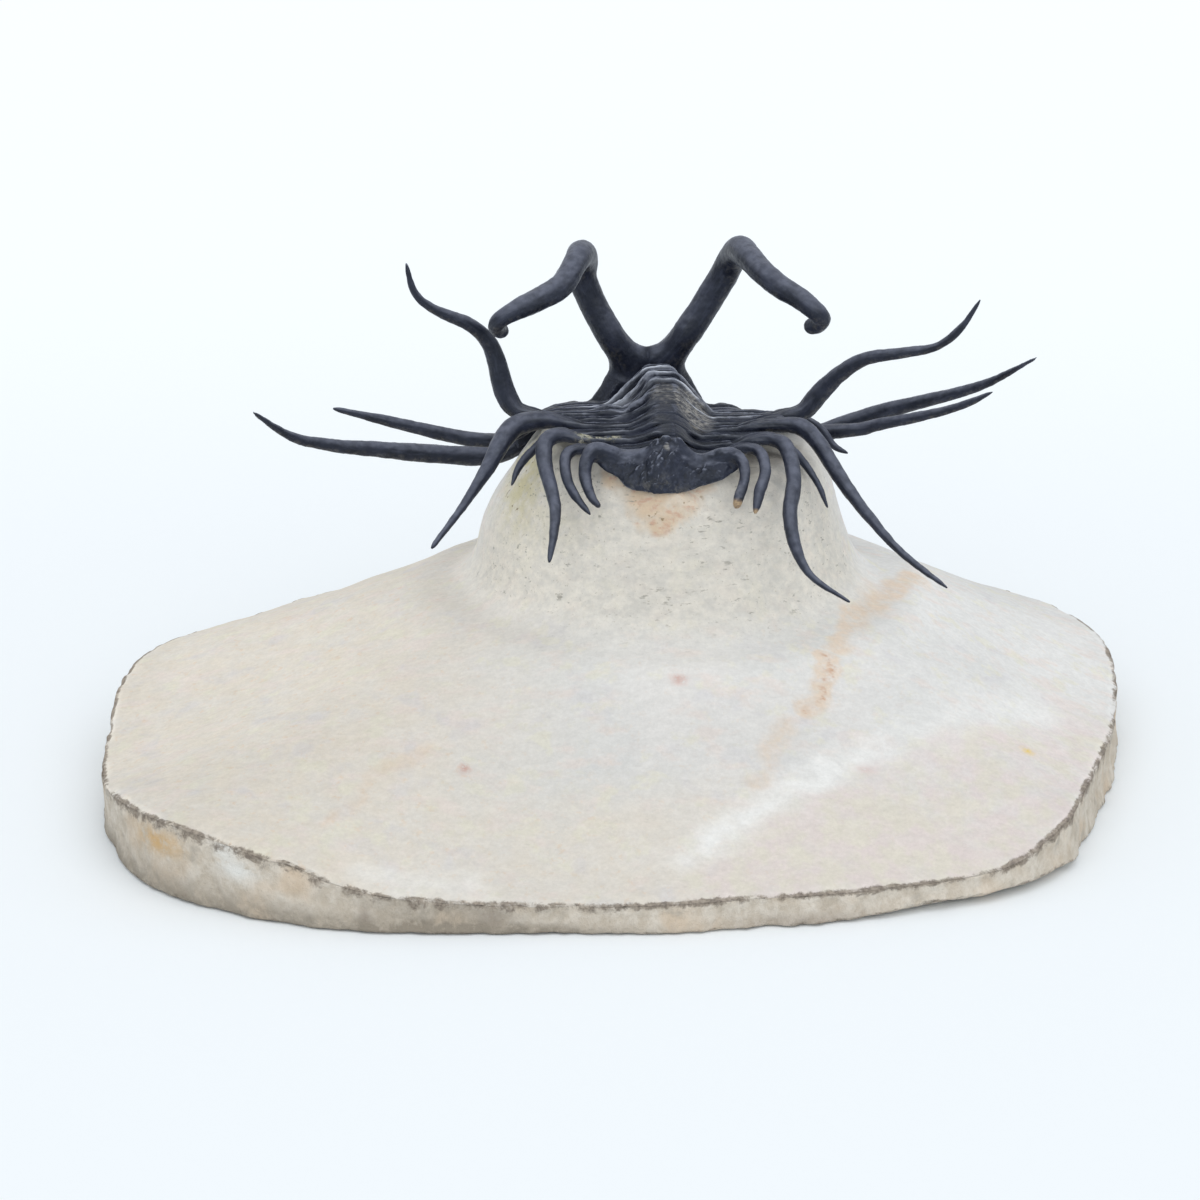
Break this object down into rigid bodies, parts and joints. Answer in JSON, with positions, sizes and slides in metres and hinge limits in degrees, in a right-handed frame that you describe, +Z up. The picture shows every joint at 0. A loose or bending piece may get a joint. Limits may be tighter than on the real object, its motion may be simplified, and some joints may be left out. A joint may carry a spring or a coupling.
{
  "type": "trilobite fossil on matrix",
  "caption": "Long-spined trilobite with a pair of ram's horns, standing free on a steep neck of its pale limestone slab.",
  "frame": {"origin": "middle of the bounding box, on the plane of the slab's flat underside", "axes": "+X along the slab's long side, +Y from the tail towards the head, within 4 degrees, +Z up"},
  "size_m": [0.1108, 0.0886, 0.0558],
  "materials": {
    "limestone": "matt, air-abraded cream limestone, rough brown-grey at the broken sides",
    "shell": "satin, near-black fossil shell"
  },
  "bodies": {
    "root": {"matrix": "limestone", "cephalon": "shell", "thoracic_segment_1": "shell", "thoracic_segment_2": "shell", "thoracic_segment_3": "shell", "thoracic_segment_4": "shell", "thoracic_segment_5": "shell", "thoracic_segment_6": "shell", "thoracic_segment_7": "shell", "thoracic_segment_8": "shell", "thoracic_segment_9": "shell", "pygidium": "shell"}
  },
  "joints": []
}
